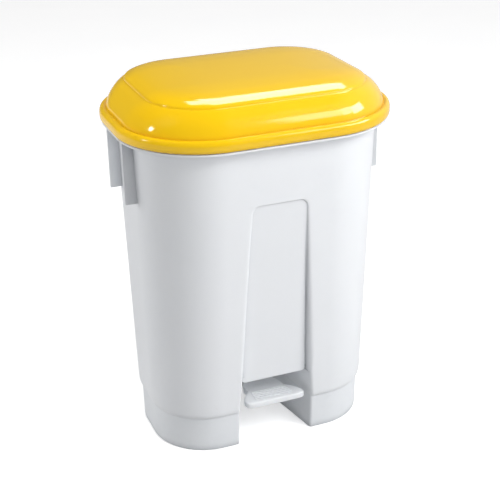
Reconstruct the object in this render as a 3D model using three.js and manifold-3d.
// Pedal bin, 60-litre class: drafted one-piece body on a separate base plinth,
// domed lid hinged at the rear, front pedal working the lid through a push rod
// that runs up a channel in the rear wall.
// Units mm. +Z up, front towards -Y, right towards +X.
// Origin: centre of the footprint, on the floor.
import * as THREE from 'three';
import { mergeVertices } from 'three/addons/utils/BufferGeometryUtils.js';
import Module from 'manifold-3d';

const wasm = await Module();
wasm.setup();

// ---------------------------------------------------------------- driving dimensions
const GAP = 0.3;                 // clearance between touching pieces
const PIN_CLEARANCE = GAP + 0.1; // radial, around the hinge pin and the pedal axle
const WALL = 3;                  // moulding wall thickness
const CORNER_STEPS = 8;          // segments per quarter corner in plan
const MIN_CORNER = 1.5;          // smallest plan corner radius
const SIDES = [-1, 1];           // left, right

const PLINTH = { width: 405, depthLow: 251, depthHigh: 258, radius: 101, height: 70 };
const PLINTH_CEILING = PLINTH.height - WALL - 0.6;

// body plan at zRef, and its growth per mm of height
const BODY = {
  z0: PLINTH.height + GAP, zTop: 596, zRef: 84,
  width: 416, depth: 268, radius: 104,
  widthGrowth: 0.0429, depthGrowth: 0.12375, radiusGrowth: 0.0459,
};
const FLOOR_Z = 73.5;            // inside face of the floor
const FLANGE = { width: 484, depth: 374, radius: 151, z0: 587, z1: 591 };
const LID = { width: 490, depth: 380, radius: 154, z: 592 };

// lid hinge; open is the full swing in degrees
const HINGE = { y: 179, z: 600, pin: 3, open: 75 };
// pedal pivot; press is the full swing in degrees
const PIVOT = { y: 2, z: 57.5, axle: 4, press: 17.5 };
const AXLE_BORE = PIVOT.axle + 0.35;
// push rod line, from the lower pin (0) to the upper pin (1)
const ROD = { y0: 108, z0: 41, y1: 150, z1: 592, radius: 4, travel: 33 };
const ROD_PIN = { radius: 3, head: 4.6, hole: 3.3, slot: 3.5 };

// screw places on a rectangle, counter-clockwise from the low left
const rectangle = (halfX, low, high) => [[-halfX, low], [halfX, low], [halfX, high], [-halfX, high]];
const BASE_SCREWS = rectangle(150, -70, 70);      // x, y
const COVER_SCREWS = rectangle(22.5, 130, 530);   // x, z on the rear wall
const BRACKET_PAD = { y: 120, half: 12, z0: 655, z1: 658.7, screwX: 8 };
const SMALL_PILOT = 1.9;         // hole radius for the cover and bracket screws

// ---------------------------------------------------------------- solids
const deg = (angle) => angle * Math.PI / 180;
const cut = (shape, ...tools) => tools.reduce((rest, tool) => rest.subtract(tool), shape);
const join = (shape, ...parts) => parts.reduce((whole, part) => whole.add(part), shape);
// x range lying from inner to outer on the given side
const spanX = (side, inner, outer) => (side > 0 ? [inner, outer] : [-outer, -inner]);
// half outline followed by its mirror image, back to the start
const mirrorX = (half) => half.concat(half.map(([x, ...rest]) => [-x, ...rest]).reverse());

function solid(geometry) {
  geometry.deleteAttribute('normal');
  geometry.deleteAttribute('uv');
  const merged = mergeVertices(geometry, 1e-4);
  return new wasm.Manifold(new wasm.Mesh({
    numProp: 3,
    vertProperties: new Float32Array(merged.attributes.position.array),
    triVerts: new Uint32Array(merged.index.array),
  }));
}

function toGeometry(manifold) {
  const mesh = manifold.getMesh();
  const geometry = new THREE.BufferGeometry();
  const positions = new Float32Array(mesh.vertProperties);
  geometry.setAttribute('position', new THREE.BufferAttribute(positions, 3));
  geometry.setIndex(new THREE.BufferAttribute(new Uint32Array(mesh.triVerts), 1));
  geometry.computeVertexNormals();
  return geometry;
}

function box(x0, x1, y0, y1, z0, z1) {
  return solid(new THREE.BoxGeometry(x1 - x0, y1 - y0, z1 - z0)
    .translate((x0 + x1) / 2, (y0 + y1) / 2, (z0 + z1) / 2));
}

const barX = (radius, x0, x1, y, z, segments = 20) => (
  new THREE.CylinderGeometry(radius, radius, x1 - x0, segments)
    .rotateZ(-Math.PI / 2)
    .translate((x0 + x1) / 2, y, z)
);
const barZ = (radius, z0, z1, x, y, segments = 20) => (
  new THREE.CylinderGeometry(radius, radius, z1 - z0, segments)
    .rotateX(Math.PI / 2)
    .translate(x, y, (z0 + z1) / 2)
);
const cylX = (...size) => solid(barX(...size));
const cylZ = (...size) => solid(barZ(...size));

const toVectors = (points) => points.map(([a, b]) => new THREE.Vector2(a, b));
const extrude = (points, depth) => (
  new THREE.ExtrudeGeometry(new THREE.Shape(toVectors(points)), { depth, bevelEnabled: false })
);
// points are [radius, height along the turning axis y]
const lathe = (points, segments) => new THREE.LatheGeometry(toVectors(points), segments);

// section in (y, z), running along x
function prismX(points, x0, x1) {
  const turn = new THREE.Matrix4().set(0, 0, 1, x0, 1, 0, 0, 0, 0, 1, 0, 0, 0, 0, 0, 1);
  return solid(extrude(points, x1 - x0).applyMatrix4(turn));
}
// section in (x, z), running along y
function prismY(points, y0, y1) {
  const turn = new THREE.Matrix4().set(1, 0, 0, 0, 0, 0, -1, y1, 0, 1, 0, 0, 0, 0, 0, 1);
  return solid(extrude(points, y1 - y0).applyMatrix4(turn));
}
// section in (x, y), running along z
const prismZ = (points, z0, z1) => solid(extrude(points, z1 - z0).translate(0, 0, z0));

// skin between rows of [x, y, z] points, closed at both ends by flat convex caps
function skinRows(rows) {
  const count = rows[0].length;
  const index = [];
  for (let i = 0; i < rows.length - 1; i++) {
    for (let j = 0; j < count; j++) {
      const here = i * count + j;
      const next = i * count + (j + 1) % count;
      index.push(here, next, next + count, here, next + count, here + count);
    }
  }
  const top = (rows.length - 1) * count;
  for (let j = 1; j < count - 1; j++) {
    index.push(0, j + 1, j);
    index.push(top, top + j, top + j + 1);
  }
  const geometry = new THREE.BufferGeometry();
  geometry.setAttribute('position', new THREE.Float32BufferAttribute(rows.flat(2), 3));
  geometry.setIndex(index);
  return solid(geometry);
}

// rounded rectangle at height z, counter-clockwise from above
function roundedRow([width, depth, cornerRadius, z]) {
  const radius = Math.max(MIN_CORNER, cornerRadius);
  const x = width / 2 - radius;
  const y = depth / 2 - radius;
  const points = [];
  for (const [cx, cy, start] of [[x, -y, -90], [x, y, 0], [-x, y, 90], [-x, -y, 180]]) {
    for (let i = 0; i <= CORNER_STEPS; i++) {
      const angle = deg(start + 90 * i / CORNER_STEPS);
      points.push([cx + radius * Math.cos(angle), cy + radius * Math.sin(angle), z]);
    }
  }
  return points;
}
// stations are [width, depth, corner radius, z], from the bottom up
const loft = (stations) => skinRows(stations.map(roundedRow));
const insetPlan = ({ width, depth, radius }, inset, z) => (
  [width - 2 * inset, depth - 2 * inset, radius - inset, z]
);

// ---------------------------------------------------------------- body wall and rod lines
// plan station of the drafted wall, inset from its outer face
function wallAt(z, inset = 0) {
  const rise = z - BODY.zRef;
  return insetPlan({
    width: BODY.width + BODY.widthGrowth * rise,
    depth: BODY.depth + BODY.depthGrowth * rise,
    radius: BODY.radius + BODY.radiusGrowth * rise,
  }, inset, z);
}
const wallY = (z) => wallAt(z)[1] / 2;
const WALL_TILT = Math.atan(BODY.depthGrowth / 2);

// cylinder square to the rear wall, its middle standing out from the wall by offset
function wallPost(radius, length, offset, segments, [x, z]) {
  return solid(new THREE.CylinderGeometry(radius, radius, length, segments)
    .translate(0, offset, 0)
    .rotateX(-WALL_TILT)
    .translate(x, wallY(z), z));
}

const ROD_RUN = ROD.y1 - ROD.y0;
const ROD_RISE = ROD.z1 - ROD.z0;
const ROD_LENGTH = Math.hypot(ROD_RUN, ROD_RISE);
const rodY = (z) => ROD.y0 + (z - ROD.z0) * ROD_RUN / ROD_RISE;

// centres of a rod pin over its travel, seen from a piece that turns with it about centre
function pinPath([pinY, pinZ], centre, turn, steps) {
  const path = [];
  for (let i = 0; i <= steps; i++) {
    const travel = ROD.travel * i / steps;
    const angle = deg(turn) * i / steps;
    const y = pinY + travel * ROD_RUN / ROD_LENGTH - centre.y;
    const z = pinZ + travel * ROD_RISE / ROD_LENGTH - centre.z;
    path.push([
      centre.y + y * Math.cos(angle) + z * Math.sin(angle),
      centre.z - y * Math.sin(angle) + z * Math.cos(angle),
    ]);
  }
  return path;
}

// rod pin slot along a path of (y, z) centres
function slotX(path, halfWidth) {
  const radius = ROD_PIN.slot;
  const disc = ([y, z]) => cylX(radius, -halfWidth, halfWidth, y, z, 16);
  let slot = disc(path[0]);
  for (let i = 1; i < path.length; i++) {
    const [ay, az] = path[i - 1];
    const [by, bz] = path[i];
    const length = Math.hypot(by - ay, bz - az);
    const sideY = -(bz - az) / length * radius;
    const sideZ = (by - ay) / length * radius;
    slot = join(slot, disc(path[i]), prismX([
      [ay - sideY, az - sideZ], [by - sideY, bz - sideZ],
      [by + sideY, bz + sideZ], [ay + sideY, az + sideZ],
    ], -halfWidth, halfWidth));
  }
  return slot;
}

// ---------------------------------------------------------------- pedal bay and front recess
const BAY = { taper: 0.176, refY: -125, front: -230, back: 121, roof: 124, low: -12 };
// z, half width at refY; the side walls close in by taper per mm of depth
const BAY_HALF = [[-2, 71.2], [70, 70.5], [130, 64.9], [466, 45.3]];
const RECESS = { top: 480, back: -84, corner: 14 };
// recessed panel's face: z, y
const PANEL = [[480, -158.2], [470, -155], [455, -153.1], [385, -146], [300, -137.4],
  [225, -130], [124, -120.7]];
const PANEL_CORNER = { radius: 12, x: 63.6 };   // rounded lower corners of the panel

function bayHalfAt(z) {
  let i = 1;
  while (i < BAY_HALF.length - 1 && z > BAY_HALF[i][0]) i++;
  const [z0, half0] = BAY_HALF[i - 1];
  const [z1, half1] = BAY_HALF[i];
  return half0 + (half1 - half0) * (z - z0) / (z1 - z0);
}
const bayEdge = (z) => [bayHalfAt(z), z];

// half section of [x, z] points at refY, tapered from yBack out to the bay's front
function taperedBay(halfSection, yBack, grow) {
  const rowAt = (y) => {
    const shift = grow - BAY.taper * (y - BAY.refY);
    return mirrorX(halfSection.map(([x, z]) => [x + shift, y, z]));
  };
  return skinRows([rowAt(yBack), rowAt(BAY.front)]);
}
const squareBay = (yBack, zLow, zTop, grow) => (
  taperedBay([zLow, 70, zTop].map(bayEdge), yBack, grow)
);
// bay with rounded top corners
function roundedBay(zTop, grow) {
  const half = [BAY.low, 70, 130].map(bayEdge);
  const radius = RECESS.corner;
  const zCorner = zTop - radius;
  for (let i = 0; i <= 4; i++) {
    const angle = deg(90 * i / 4);
    half.push([
      bayHalfAt(zCorner) - radius + radius * Math.cos(angle),
      zCorner + radius * Math.sin(angle),
    ]);
  }
  return taperedBay(half, RECESS.back, grow);
}

// hollow above the pedal, grown by a margin
function recessSolid(margin) {
  const zTop = RECESS.top + margin;
  const face = PANEL.map(([z, y], i) => [y + margin, i === 0 ? zTop : z]);
  const foot = [[face[face.length - 1][0], 60], [BAY.front, 60]];
  const inFrontOfPanel = prismX([[BAY.front, zTop], ...face, ...foot], -120, 120);
  return roundedBay(zTop, margin).intersect(inFrontOfPanel);
}

// tunnel for the pedal arm, grown by a margin
function tunnelSolid(margin) {
  const back = BAY.back + margin;
  const roof = BAY.roof + margin;
  const profile = prismX([
    [BAY.front, -10], [back, -10], [back, 92 + margin], [-6, 96 + margin],
    [-58, roof], [BAY.front, roof],
  ], -120, 120);
  return squareBay(back, BAY.low, roof, margin).intersect(profile);
}

function panelCornerCut(side) {
  const { radius, x } = PANEL_CORNER;
  const points = [[x + 6, BAY.roof - 2], [x - radius, BAY.roof - 2]];
  for (let i = 0; i <= 5; i++) {
    const angle = deg(90 * i / 5);
    points.push([
      x - radius + radius * Math.sin(angle),
      BAY.roof + radius - radius * Math.cos(angle),
    ]);
  }
  points.push([x + 6, BAY.roof + radius]);
  return prismY(points.map(([px, pz]) => [side * px, pz]), -140, -110)
    .intersect(roundedBay(RECESS.top, 0));
}

// rod channel in the rear wall, grown by a margin
function channelSolid(margin) {
  const [zLow, zStep, zTop] = [40, 96, 610];
  const front = (z) => rodY(z) - 13 - margin;
  const stepY = 130.4 + margin * 0.02;
  return prismX([
    [front(zLow), zLow], [stepY, zLow], [stepY, zStep - margin],
    [wallY(zStep) + 30, zStep - margin], [wallY(zTop) + 30, zTop], [front(zTop), zTop],
  ], -17 - margin, 17 + margin);
}

// ---------------------------------------------------------------- body shell
// handle ribs, two on each end
const RIB = { inner: 214.6, outer: 236.7, y: 47.4, thickness: 4.6, z: 473 };
const KNUCKLES = [[50.4, 58.4], [74, 82]];   // x ranges on each side
// web joining a knuckle to the rear wall: y, z
const KNUCKLE_WEB = [[164, 583], [168, 587], [168, 591], [172.5, 594.5], [179, 593.6], [181, 599],
  [179, 606.2], [172, 604], [166.2, 599.6], [165.2, 595.6], [164, 595.6]];

function makeBodyOutside() {
  const skin = loft([
    [408.4, 261, 101, BODY.z0], [411.8, 264.2, 102.6, 73.4], [414.4, 266.6, 103.4, 78],
    wallAt(87), wallAt(330), wallAt(BODY.zTop),
  ]);
  const flange = loft([
    insetPlan(FLANGE, 1, FLANGE.z0),
    insetPlan(FLANGE, 0, FLANGE.z0 + 1),
    insetPlan(FLANGE, 0, FLANGE.z1 - 0.8),
    insetPlan(FLANGE, 0.8, FLANGE.z1),
  ]);
  const half = RIB.thickness / 2;
  const ribs = SIDES.flatMap((side) => SIDES.map((end) => {
    const y = end * (RIB.y - half);
    return box(...spanX(side, RIB.inner, RIB.outer), y - half, y + half, RIB.z, FLANGE.z0 + 1);
  }));
  return join(skin, flange, ...ribs);
}

function makeBodyCavity() {
  const inside = loft([
    wallAt(FLOOR_Z, WALL + 1.6), wallAt(FLOOR_Z + 6, WALL), wallAt(330, WALL), wallAt(612, WALL),
  ]);
  const behindPanelCorners = box(-70, 70, BAY.front, -106, 60,
    BAY.roof + PANEL_CORNER.radius + WALL);
  const baseBosses = BASE_SCREWS.map(([x, y]) => cylZ(6, 60, 87, x, y));
  const coverBosses = COVER_SCREWS.map((place) => wallPost(4.6, 16, -6, 16, place));
  return cut(inside, recessSolid(WALL), tunnelSolid(WALL), behindPanelCorners,
    channelSolid(WALL), ...baseBosses, ...coverBosses);
}

function makeBody() {
  let body = cut(makeBodyOutside(), makeBodyCavity(), recessSolid(0), tunnelSolid(0),
    ...SIDES.map(panelCornerCut), channelSolid(0));
  // the channel's front wall stops short of the rim to let the lift bracket swing
  body = body.subtract(box(-17, 17, 120, 150, 575, 612));
  // the flange is cut back along the rear for the lid's turning skirt
  body = body.subtract(box(-146, 146, 168.5, 200, 560, 612));
  for (const side of SIDES) {
    for (const range of KNUCKLES) {
      const span = spanX(side, ...range);
      body = join(body, prismX(KNUCKLE_WEB, ...span), cylX(6.4, ...span, HINGE.y, HINGE.z, 18));
    }
  }
  return cut(body,
    cylX(HINGE.pin + PIN_CLEARANCE, -95, 95, HINGE.y, HINGE.z, 18),
    ...BASE_SCREWS.map(([x, y]) => cylZ(2.4, 60, 83, x, y, 14)),
    ...COVER_SCREWS.map((place) => wallPost(SMALL_PILOT, 24, 0.5, 12, place)));
}

// ---------------------------------------------------------------- base plinth
function plinthAt(z, inset = 0) {
  const { width, depthLow, depthHigh, radius, height } = PLINTH;
  const depth = depthLow + (depthHigh - depthLow) * z / height;
  return insetPlan({ width, depth, radius }, inset, z);
}

function makePlinth() {
  const outside = loft([plinthAt(0, 1.2), plinthAt(1.4), plinthAt(PLINTH.height)]);
  // the opening in the underside is narrower than the hollow above it
  const opening = loft([plinthAt(-4, 14), plinthAt(3, 14)]);
  const hollow = loft([plinthAt(2.9, WALL), plinthAt(PLINTH_CEILING, WALL)]);
  const bayWalls = squareBay(BAY.back + 3.2, -14, 80, WALL);
  const axleBosses = SIDES.map((side) => cylX(8.2, ...spanX(side, 40, 61), PIVOT.y, PIVOT.z, 20));
  return cut(outside,
    cut(opening.add(hollow), bayWalls, ...axleBosses),
    squareBay(BAY.back, BAY.low, 80, 0),
    cylX(PIVOT.axle + PIN_CLEARANCE, -80, 80, PIVOT.y, PIVOT.z, 18),
    ...BASE_SCREWS.map(([x, y]) => cylZ(2.6, 50, 80, x, y, 14)));
}

// ---------------------------------------------------------------- lid
// inset from the plan outline in x, in y, height above LID.z
const LID_OUTSIDE = [
  [3.4, 3.4, 0], [1, 1, 2.2], [0, 0, 6], [0, 0, 12], [0.8, 0.8, 16], [3, 2.8, 19.4],
  [6.6, 5.8, 21], [9.8, 8.2, 20.9], [12.6, 10.4, 20.1], [13.3, 11, 22.4], [15.2, 12.4, 28.6],
  [18.2, 14.6, 34.8], [22, 17.2, 40.6], [26.4, 20.3, 46], [31.4, 23.8, 51], [37, 27.8, 55.7],
  [43.2, 32, 59.8], [49.8, 36.6, 62.9], [50.6, 37.6, 65.2], [52, 40, 66.9], [56, 46, 69.6],
  [61.4, 53, 72.1], [69.5, 62, 74.4], [90, 80, 77], [130, 116, 79.2], [178, 178, 80],
];
const LID_INSIDE = [
  [3.4, 3.4, -1], [3.2, 3.2, 12], [5, 5, 16.4], [12.4, 10.6, 16.9], [16.2, 13.8, 18.8],
  [18.4, 15.6, 27], [24.6, 19.8, 38], [33.6, 26.2, 48], [45.2, 34.6, 56.8], [52.6, 39.6, 60.2],
  [57.4, 46, 65.6], [70.5, 63, 71], [130, 116, 76.1], [178, 178, 77],
];
const lidStation = ([insetX, insetY, height]) => (
  [LID.width - 2 * insetX, LID.depth - 2 * insetY, LID.radius - 1.08 * insetX, LID.z + height]
);

const bracketHoles = (z0, z1) => (
  SIDES.map((side) => cylZ(SMALL_PILOT, z0, z1, side * BRACKET_PAD.screwX, BRACKET_PAD.y, 12))
);

function makeLid() {
  const shell = loft(LID_OUTSIDE.map(lidStation)).subtract(loft(LID_INSIDE.map(lidStation)));
  const lugs = SIDES.flatMap((side) => {
    const span = spanX(side, 59.2, 73.2);
    return [cylX(6.2, ...span, HINGE.y, HINGE.z, 18), box(...span, 175.2, 184.4, HINGE.z, 610.2)];
  });
  const hinged = join(shell, ...lugs)
    .subtract(cylX(HINGE.pin + PIN_CLEARANCE, -76, 76, HINGE.y, HINGE.z, 18));
  const screwBosses = SIDES.map((side) => (
    cylZ(4.6, BRACKET_PAD.z1 + GAP, 666, side * BRACKET_PAD.screwX, BRACKET_PAD.y, 16)
  ));
  return cut(join(hinged, ...screwBosses), ...bracketHoles(655, 664.2));
}

// slotted plate under the lid; the rod's upper pin rides in the slot. Outline: y, z
const BRACKET_PLATE = [[111, 655.4], [129, 655.4], [159, 604], [158.6, 590], [156, 574],
  [152, 570], [145, 570], [140, 576], [141, 596]];

function makeBracket() {
  const { y, half, z0, z1 } = BRACKET_PAD;
  const plate = prismX(BRACKET_PLATE, -2.2, 2.2);
  const pad = box(-half, half, y - half, y + half, z0, z1);
  const path = pinPath([ROD.y1, ROD.z1], HINGE, -HINGE.open, 5);
  return cut(plate.add(pad), slotX(path, 6), ...bracketHoles(650, 664));
}

// ---------------------------------------------------------------- pedal
// right half of the tread's plan, from the rear round to the front edge: x, y
const TREAD_HALF = [[36.5, -82], [42.4, -88.5], [48, -96], [52.6, -105], [55.8, -114],
  [57.2, -121.5], [56.7, -128], [53.4, -132.8], [48, -135.4], [41, -136], [14, -136]];
const TREAD_PLAN = mirrorX(TREAD_HALF);
// inset from the plan, height from the tread's sloping top
const TREAD_OUTSIDE = [[1.4, -11.4], [0, -10], [0, -3.2], [0.7, -1.3], [2.2, -0.3], [4.4, 0]];
const TREAD_HOLLOW = [[2.8, -16], [2.8, -5.4], [4.6, -3.9]];
// arm side view, front to rear and back again: y, z
const ARM_TOP = [[-88, 80.6], [-60, 75.6], [0, 67.4], [40, 59.4], [96, 50.4]];
const ARM_UNDERSIDE = [[96, 35.6], [40, 45.4], [0, 48.6], [-60, 62.6], [-88, 70.4]];

const treadTop = (y) => 79.8 - 0.1535 * (y + 83);

function treadRow([inset, height]) {
  const count = TREAD_PLAN.length;
  return TREAD_PLAN.map(([planX, planY], i) => {
    const [ax, ay] = TREAD_PLAN[(i + count - 1) % count];
    const [bx, by] = TREAD_PLAN[(i + 1) % count];
    const chord = Math.hypot(bx - ax, by - ay);
    const x = planX + inset * (by - ay) / chord;
    const y = planY - inset * (bx - ax) / chord;
    return [x, y, treadTop(y) + height];
  }).reverse();
}

function makeTread() {
  const pad = skinRows(TREAD_OUTSIDE.map(treadRow)).subtract(skinRows(TREAD_HOLLOW.map(treadRow)));
  const gripRibs = [];
  for (let i = 0; i < 5; i++) {
    const y = -92 - i * 7.4;
    const z = treadTop(y);
    const half = 33 + i;
    const section = [[y - 1.7, z - 1], [y + 1.7, z - 1], [y + 0.9, z + 1.1], [y - 0.9, z + 1.3]];
    gripRibs.push(prismX(section, -half, half));
  }
  return join(pad, ...gripRibs);
}

function armPlan(inset) {
  const end = inset * 1.2;
  return mirrorX([
    [35 - inset, -88 + end], [35 - inset, -57], [24 - inset, -24], [20 - inset, 30],
    [13 - inset, 94 - end],
  ]);
}

function makeArm() {
  const outside = prismX([...ARM_TOP, ...ARM_UNDERSIDE], -60, 60)
    .intersect(prismZ(armPlan(0), 20, 110));
  // hollow from below, left solid around the hub
  const hollowSide = ARM_TOP.map(([y, z]) => [y, z - 4]).concat([[96, 20], [-88, 20]]);
  const hollow = prismX(hollowSide, -60, 60)
    .intersect(prismZ(armPlan(3.6), 10, 110))
    .subtract(box(-60, 60, PIVOT.y - 12, PIVOT.y + 12, 0, 120));
  return outside.subtract(hollow);
}

function makePedal() {
  const hub = cylX(10.6, -24, 24, PIVOT.y, PIVOT.z, 22);
  const heel = prismX([[88, 36.6], [107, 32.6], [110, 33], [110, 49], [106, 49.4], [88, 51.8]],
    -4, 4);
  const heelEnd = cylX(8.2, -4, 4, 109.2, 40.8, 18);
  const path = pinPath([ROD.y0, ROD.z0], PIVOT, PIVOT.press, 3);
  return cut(join(makeTread(), makeArm(), hub, heel, heelEnd),
    cylX(6.4, -30, 30, PIVOT.y, PIVOT.z, 20),
    slotX(path, 8));
}

// flanged bush in the pedal's hub
function makeBush(side) {
  const sleeve = cylX(6.1, ...spanX(side, 8, 24.4), PIVOT.y, PIVOT.z, 20);
  const collar = cylX(9.4, ...spanX(side, 24.3, 26.6), PIVOT.y, PIVOT.z, 20);
  return sleeve.add(collar)
    .subtract(cylX(AXLE_BORE, ...spanX(side, 0, 30), PIVOT.y, PIVOT.z, 18));
}
// ring round the pedal axle
function makeAxleTube(radius, x0, x1) {
  return cylX(radius, x0, x1, PIVOT.y, PIVOT.z, 18)
    .subtract(cylX(AXLE_BORE, x0 - 2, x1 + 2, PIVOT.y, PIVOT.z, 18));
}
// cup over the end of the hinge pin
function makeHingeCap(side) {
  return cylX(5, ...spanX(side, 82.4, 90.5), HINGE.y, HINGE.z, 18)
    .subtract(cylX(3.3, ...spanX(side, 80, 88.4), HINGE.y, HINGE.z, 18));
}

// ---------------------------------------------------------------- push rod parts
// in the rod's own frame: z along the rod from the lower pin, y towards the rear

// headed pin along x
function makeRodPin(half) {
  const { radius, head } = ROD_PIN;
  return lathe([
    [0, -half], [radius - 0.5, -half], [radius, -half + 0.5], [radius, half - 2],
    [head, half - 2], [head, half - 0.4], [head - 0.4, half], [0, half],
  ], 18).rotateZ(-Math.PI / 2);
}
const forkPinHole = () => cylX(ROD_PIN.hole, -12, 12, 0, 0, 16);
// pin at z 0, opening downwards
const makeLowerFork = () => cut(box(-8.6, 8.6, -7, 7, -7, 26),
  box(-5.2, 5.2, -12, 12, -12, 14.5), forkPinHole(), cylZ(4.3, 16.5, 30, 0, 0, 16));
// pin at z 0, opening upwards
const makeUpperFork = () => cut(box(-6.8, 6.8, -6.4, 6.4, -42, 7),
  box(-3.1, 3.1, -12, 12, -28, 12), forkPinHole(), cylZ(4.3, -46, -31, 0, 0, 16));
// block filling the channel, with a groove down its rear face
const makeGuide = () => cut(box(-16.6, 16.6, -12.4, 10, 0, 14),
  cylZ(4.5, -4, 20, 0, 0, 18), box(-9, 9, 6.4, 14, -4, 20));

// ---------------------------------------------------------------- bag ring, cover, small parts
// flat ring on the rim with a skirt hanging inside the wall, open at the channel
function makeBagRing() {
  const z = BODY.zTop + GAP;
  const flat = loft([wallAt(z, 0.6), wallAt(z + 2.2, 0.6), wallAt(z + 3, 1.4)])
    .subtract(loft([wallAt(z - 5, 14), wallAt(z + 8, 14)]));
  const skirt = loft([wallAt(566, WALL + 0.9), wallAt(z + 1, WALL + 0.9)])
    .subtract(loft([wallAt(560, WALL + 3.4), wallAt(z + 8, WALL + 3.4)]));
  return flat.add(skirt).subtract(box(-24, 24, 100, 200, 540, 620));
}

const COVER = { z0: 88, z1: 568, half: 28, thickness: 2.6, slant: 0.4 };

function makeRearCover() {
  const { z0, z1, half, thickness, slant } = COVER;
  const inner = (z) => wallY(z) + GAP;
  const plate = prismX([
    [inner(z0), z0], [inner(z0) + thickness, z0 + slant],
    [inner(z1) + thickness, z1 - slant], [inner(z1), z1],
  ], -half, half);
  return cut(plate, ...COVER_SCREWS.map((place) => wallPost(SMALL_PILOT, 20, 0, 12, place)));
}

// pan-head screw: axis +z, head at the top, underside of the head at z 0
function makeScrew({ radius, length, head, headHeight }) {
  return lathe([
    [0, -length], [radius, -length + 2.5], [radius, 0], [head, 0], [head, headHeight * 0.45],
    [head * 0.72, headHeight], [head * 0.3, headHeight], [0, headHeight * 0.35],
  ], 12).rotateX(Math.PI / 2);
}

// soft buffer standing on the rim flange
function makeBuffer(x, y) {
  const foot = FLANGE.z1 + GAP;
  return lathe([[0, foot], [2.6, foot], [3.6, 592.6], [3.8, 608.4], [0, 608.4]], 16)
    .rotateX(Math.PI / 2)
    .translate(x, y, 0);
}

// ---------------------------------------------------------------- materials
const WHITE = 0xe9ebec;
const STEEL = 0xb9bcc0;
const FINISH = {
  body: { color: WHITE, roughness: 0.38 },
  plinth: { color: 0xe4e7ea, roughness: 0.42 },
  cover: { color: WHITE, roughness: 0.4 },
  ring: { color: 0xd3d6d9, roughness: 0.45 },
  lid: { color: 0xf4c033, roughness: 0.2 },
  pedal: { color: 0xe2e4e6, roughness: 0.4 },
  nylon: { color: 0xd8d6cd, roughness: 0.5 },
  rubber: { color: 0x3a3b3d, roughness: 0.8 },
  plate: { color: STEEL, roughness: 0.35, metalness: 0.9 },
  pin: { color: STEEL, roughness: 0.3, metalness: 0.95 },
  zinc: { color: 0xa9adb1, roughness: 0.35, metalness: 0.9 },
};

// ---------------------------------------------------------------- assembly
const bin = new THREE.Group();

function put(name, shape, finish, parent = bin) {
  const geometry = shape instanceof THREE.BufferGeometry ? shape : toGeometry(shape);
  const mesh = new THREE.Mesh(geometry, new THREE.MeshStandardMaterial(finish));
  mesh.name = name;
  parent.add(mesh);
  return mesh;
}

function putScrew(name, size, turnX, x, y, z) {
  const mesh = put(name, makeScrew(size), FINISH.zinc);
  mesh.rotation.x = turnX;
  mesh.position.set(x, y, z);
}

function putScrews() {
  const baseSize = { radius: 2, length: 14.5, head: 4.2, headHeight: 2.6 };
  BASE_SCREWS.forEach(([x, y], i) => {
    putScrew(`base_screw_${i + 1}`, baseSize, Math.PI, x, y, PLINTH_CEILING - GAP);
  });
  const coverSize = { radius: 1.5, length: 11, head: 3.6, headHeight: 2.2 };
  const standOff = COVER.thickness + 2 * GAP;
  COVER_SCREWS.forEach(([x, z], i) => {
    putScrew(`cover_screw_${i + 1}`, coverSize, -WALL_TILT - Math.PI / 2, x,
      wallY(z) + standOff * Math.cos(WALL_TILT), z - standOff * Math.sin(WALL_TILT));
  });
  const bracketSize = { radius: 1.5, length: 8.6, head: 3.4, headHeight: 2.2 };
  SIDES.forEach((side, i) => {
    putScrew(`bracket_screw_${i + 1}`, bracketSize, Math.PI,
      side * BRACKET_PAD.screwX, BRACKET_PAD.y, BRACKET_PAD.z0 - GAP);
  });
}

function putPivots() {
  put('pedal_axle', barX(PIVOT.axle, -65, 65, PIVOT.y, PIVOT.z, 20), FINISH.pin);
  put('hinge_pin', barX(HINGE.pin, -88, 88, HINGE.y, HINGE.z, 18), FINISH.pin);
  for (const side of SIDES) {
    const label = side > 0 ? 'right' : 'left';
    put(`pedal_bush_${label}`, makeBush(side), FINISH.nylon);
    put(`axle_spacer_${label}`, makeAxleTube(7, ...spanX(side, 27, 46.8)), FINISH.nylon);
    put(`axle_clip_${label}`, makeAxleTube(7.4, ...spanX(side, 61.4, 63)), FINISH.zinc);
    put(`hinge_cap_${label}`, makeHingeCap(side), FINISH.cover);
  }
}

function putRodLine() {
  const line = new THREE.Group();
  line.position.set(0, ROD.y0, ROD.z0);
  line.rotation.x = -Math.atan2(ROD_RUN, ROD_RISE);
  bin.add(line);
  // name, shape, finish, x, z
  const parts = [
    ['push_rod', barZ(ROD.radius, 16.9, ROD_LENGTH - 31.4, 0, 0, 18), FINISH.pin, 0, 0],
    ['rod_fork_lower', makeLowerFork(), FINISH.nylon, 0, 0],
    ['rod_pin_lower', makeRodPin(10.6), FINISH.pin, 0.9, 0],
    ['rod_fork_upper', makeUpperFork(), FINISH.nylon, 0, ROD_LENGTH],
    ['rod_pin_upper', makeRodPin(8.8), FINISH.pin, 0.8, ROD_LENGTH],
    ['rod_guide_lower', makeGuide(), FINISH.nylon, 0, 108],
    ['rod_guide_upper', makeGuide(), FINISH.nylon, 0, 452],
  ];
  for (const [name, shape, finish, x, z] of parts) {
    put(name, shape, finish, line).position.set(x, 0, z);
  }
}

put('body_shell', makeBody(), FINISH.body);
put('base_plinth', makePlinth(), FINISH.plinth);
put('rear_cover', makeRearCover(), FINISH.cover);
put('bag_ring', makeBagRing(), FINISH.ring);
put('lid_shell', makeLid(), FINISH.lid);
put('lift_bracket', makeBracket(), FINISH.plate);
put('pedal', makePedal(), FINISH.pedal);
putScrews();
putPivots();

// name, x, y
const BUFFERS = [
  ['front_left', -70, -180], ['front_right', 70, -180], ['left', -235, 0], ['right', 235, 0],
];
for (const [name, x, y] of BUFFERS) put(`lid_buffer_${name}`, makeBuffer(x, y), FINISH.rubber);

putRodLine();

export default bin;
